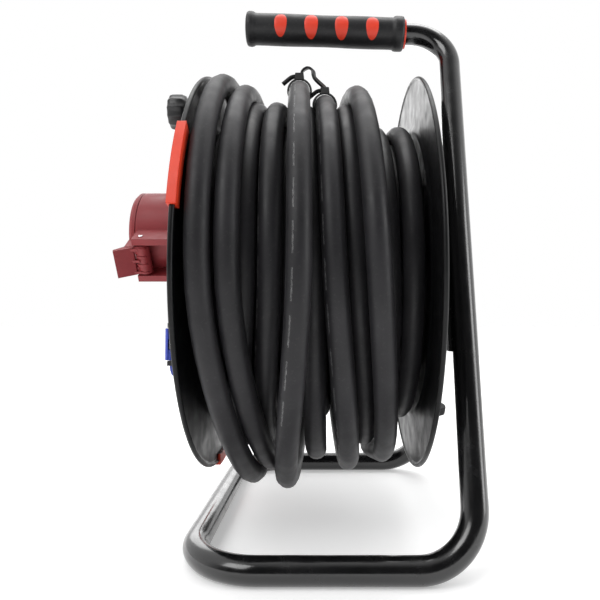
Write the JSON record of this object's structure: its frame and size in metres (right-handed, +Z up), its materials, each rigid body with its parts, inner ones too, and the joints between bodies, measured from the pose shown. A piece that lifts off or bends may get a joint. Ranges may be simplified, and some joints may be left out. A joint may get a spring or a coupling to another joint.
{
  "type": "extension cord reel",
  "caption": "Steel cable reel on a bent tube carrying frame, with a wound heavy rubber cable, lidded sockets, winding knob and rubber grip.",
  "frame": {"origin": "on the floor under the middle of the reel's box, measured without the cable", "axes": "+X along the drum axle towards the carrying post, +Y to the back, +Z up"},
  "size_m": [0.2675, 0.3392, 0.4338],
  "materials": {
    "frame_paint": "gloss black powder coat over steel tube",
    "flange_paint": "gloss black powder coat over pressed sheet steel",
    "core_paint": "satin black powder coat",
    "zinc_steel": "zinc plated, satin",
    "spring_steel": "bright spring wire",
    "bush_plastic": "moulded nylon",
    "grip_rubber": "matte soft-touch moulding",
    "accent_red": "matte red-orange inserts",
    "clip_red": "satin red-orange moulding",
    "panel_black": "fine spark-eroded texture",
    "knob_black": "satin moulding",
    "cee_red": "satin muted crimson moulding",
    "cee_carrier_red": "matte dark crimson moulding",
    "lid_blue": "satin blue moulding",
    "socket_black": "matte moulding",
    "gasket_rubber": "soft seal",
    "brass": "nickel-free contact brass",
    "nickel": "nickel-plated pins",
    "button_red": "gloss",
    "terminal_white": "moulded thermoset",
    "lead_brown": "PVC sleeved wire",
    "cable_rubber": "matte black-grey rubber sheath with fine printed marks",
    "tie_nylon": "satin nylon strap",
    "plug_black": "matte moulding"
  },
  "bodies": {
    "frame": {"carry_tube": "frame_paint", "base_tube": "frame_paint", "rear_leg": "frame_paint", "axle_plate": "frame_paint", "axle": "zinc_steel", "axle_spacer": "zinc_steel", "axle_washer": "zinc_steel", "axle_nut": "zinc_steel", "handle_grip": "grip_rubber", "grip_inserts": "accent_red", "grip_end_ring": "accent_red"},
    "drum": {"left_flange": "flange_paint", "right_flange": "flange_paint", "drum_core": "core_paint", "core_bulkhead": "zinc_steel", "hub_tube": "zinc_steel", "hub_bushes": "bush_plastic", "rim_clips": "clip_red", "flange_nubs": "knob_black", "socket_panel": "panel_black", "panel_rivets": "core_paint", "knob_spindle": "zinc_steel", "cee_housing": "cee_red", "cee_carrier": "cee_carrier_red", "cee_contacts": "brass", "cee_screws": "zinc_steel", "cee_pin": "zinc_steel", "cee_spring": "spring_steel", "schuko_body_1": "socket_black", "schuko_body_2": "socket_black", "schuko_contacts": "brass", "schuko_earth_clips": "nickel", "schuko_pins": "zinc_steel", "schuko_springs": "spring_steel", "cutout_body": "socket_black", "cutout_nut": "socket_black", "terminal_block": "terminal_white", "panel_leads": "lead_brown", "cable_gland": "gasket_rubber", "cable_winding": "cable_rubber", "cable_loose_turns": "cable_rubber", "cable_tail": "cable_rubber", "cable_tie": "tie_nylon", "plug_body": "plug_black", "plug_shroud": "cee_red", "plug_pins": "nickel", "plug_gland": "plug_black"},
    "winding_knob": {"winding_knob": "knob_black", "knob_cap": "knob_black"},
    "cee_lid": {"cee_lid": "cee_red", "cee_gasket": "gasket_rubber"},
    "schuko_lid_1": {"schuko_lid_1": "lid_blue"},
    "schuko_lid_2": {"schuko_lid_2": "lid_blue"},
    "reset_button": {"reset_button": "button_red"}
  },
  "joints": [
    {"name": "drum_spin", "type": "hinge", "parent": "frame", "child": "drum", "pos_m": [0.0087, 0, 0.203], "axis": [1, 0, 0], "continuous": true},
    {"name": "knob_spin", "type": "hinge", "parent": "drum", "child": "winding_knob", "pos_m": [-0.0913, -0.034, 0.332], "axis": [1, 0, 0], "continuous": true},
    {"name": "cee_lid_hinge", "type": "hinge", "parent": "drum", "child": "cee_lid", "pos_m": [-0.1154, -0.07271, 0.20926], "axis": [0, -0.5446, 0.8387], "range_deg": [0, 105], "stiffness_Nm_per_rad": 0.08, "springref_deg": -34.38},
    {"name": "schuko_lid_1_hinge", "type": "hinge", "parent": "drum", "child": "schuko_lid_1", "pos_m": [-0.0986, -0.0607, 0.145], "axis": [0, 0, 1], "range_deg": [0, 115], "stiffness_Nm_per_rad": 0.015, "springref_deg": -34.38},
    {"name": "schuko_lid_2_hinge", "type": "hinge", "parent": "drum", "child": "schuko_lid_2", "pos_m": [-0.0986, 0.0607, 0.145], "axis": [0, 0, -1], "range_deg": [0, 115], "stiffness_Nm_per_rad": 0.015, "springref_deg": -34.38},
    {"name": "reset_press", "type": "slide", "parent": "drum", "child": "reset_button", "axis": [1, 0, 0], "range_m": [0, 0.003], "stiffness_N_per_m": 800, "springref_m": -0.002}
  ]
}
